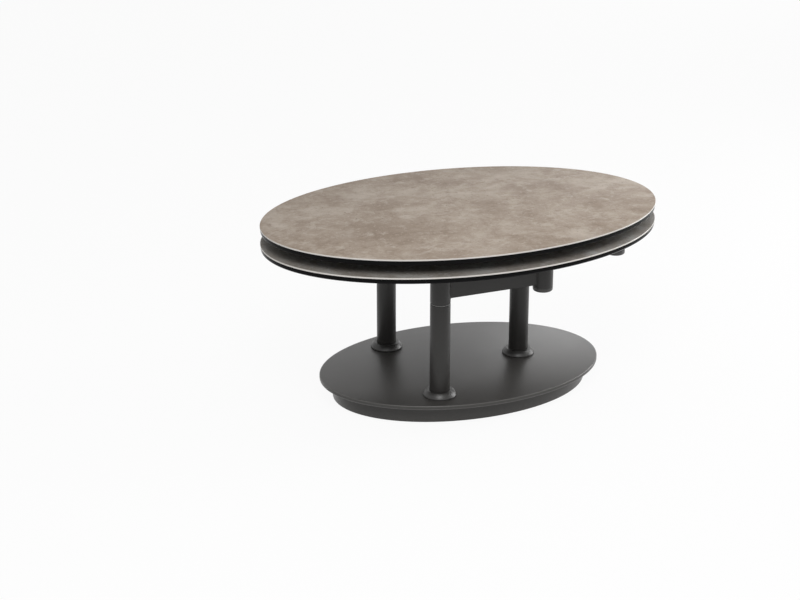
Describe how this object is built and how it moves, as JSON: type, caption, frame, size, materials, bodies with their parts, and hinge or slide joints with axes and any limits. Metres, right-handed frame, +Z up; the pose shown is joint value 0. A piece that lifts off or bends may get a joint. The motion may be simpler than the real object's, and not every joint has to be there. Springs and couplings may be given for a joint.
{
  "type": "extendable coffee table",
  "caption": "Oval coffee table with two stacked ceramic-faced tops on a post pedestal; the lower top swings out on parallel cranks to lengthen the table.",
  "frame": {"origin": "on the floor, under the centre of the upper top", "axes": "+X along the tops towards the arms' closed side, +Z up"},
  "size_m": [1, 0.6659, 0.455],
  "materials": {
    "ceramic_face": "matt stone-look ceramic, warm taupe",
    "black_glass": "gloss black back-painted tempered glass",
    "coated_steel": "satin anthracite powder coat",
    "zinc_steel": "bright zinc plated",
    "bronze": "sintered bronze",
    "slide_plastic": "black acetal",
    "fibreboard": "black-dyed fibreboard",
    "felt_rubber": "black rubber"
  },
  "bodies": {
    "frame": {"base_plate": "coated_steel", "plinth_band": "coated_steel", "plinth_core": "fibreboard", "core_screws": "zinc_steel", "floor_glides": "felt_rubber", "post_front": "coated_steel", "post_right": "coated_steel", "post_back": "coated_steel", "post_collars": "coated_steel", "foot_plugs": "zinc_steel", "anchor_washers": "zinc_steel", "anchor_bolts": "zinc_steel", "pivot_spindles": "zinc_steel", "thrust_washers": "slide_plastic", "stop_plates": "zinc_steel", "spindle_screws": "zinc_steel", "upper_ceramic": "ceramic_face", "upper_glass": "black_glass", "upper_sockets": "coated_steel", "socket_bushes": "bronze"},
    "crank_front": {"hub_sleeve_front": "coated_steel", "hub_bushes_front": "bronze", "swing_arm_front": "coated_steel", "stop_stud_front": "zinc_steel", "outer_hub_front": "coated_steel", "hub_cap_front": "coated_steel", "riser_shaft_front": "zinc_steel", "top_link_front": "coated_steel", "link_screw_front": "zinc_steel", "pivot_pin_front": "zinc_steel", "retaining_clip_front": "zinc_steel"},
    "crank_right": {"hub_sleeve_right": "coated_steel", "hub_bushes_right": "bronze", "swing_arm_right": "coated_steel", "stop_stud_right": "zinc_steel", "outer_hub_right": "coated_steel", "hub_cap_right": "coated_steel", "riser_shaft_right": "zinc_steel", "top_link_right": "coated_steel", "link_screw_right": "zinc_steel", "pivot_pin_right": "zinc_steel", "retaining_clip_right": "zinc_steel"},
    "crank_back": {"hub_sleeve_back": "coated_steel", "hub_bushes_back": "bronze", "swing_arm_back": "coated_steel", "stop_stud_back": "zinc_steel", "outer_hub_back": "coated_steel", "hub_cap_back": "coated_steel", "riser_shaft_back": "zinc_steel", "top_link_back": "coated_steel", "link_screw_back": "zinc_steel", "pivot_pin_back": "zinc_steel", "retaining_clip_back": "zinc_steel"},
    "lower_top": {"lower_ceramic": "ceramic_face", "lower_glass": "black_glass", "bearing_flanges": "coated_steel", "flange_bushes": "bronze", "clamp_rings": "coated_steel"}
  },
  "joints": [
    {"name": "front_crank_swing", "type": "hinge", "parent": "frame", "child": "crank_front", "pos_m": [-0.12888, -0.16445, 0.29], "axis": [0, 0, 1], "range_deg": [0, 180]},
    {"name": "right_crank_swing", "type": "hinge", "parent": "frame", "child": "crank_right", "pos_m": [0.16092, 0, 0.29], "axis": [0, 0, 1], "range_deg": [0, 180]},
    {"name": "back_crank_swing", "type": "hinge", "parent": "frame", "child": "crank_back", "pos_m": [-0.12888, 0.16445, 0.29], "axis": [0, 0, 1], "range_deg": [0, 180]},
    {"name": "lower_top_pivot", "type": "hinge", "parent": "crank_front", "child": "lower_top", "pos_m": [0.13912, -0.16445, 0.39], "axis": [0, 0, 1], "range_deg": [-180, 0]}
  ],
  "couplings": [
    {"joint": "right_crank_swing", "follows": "front_crank_swing", "ratio": 1},
    {"joint": "back_crank_swing", "follows": "front_crank_swing", "ratio": 1},
    {"joint": "lower_top_pivot", "follows": "front_crank_swing", "ratio": -1}
  ]
}
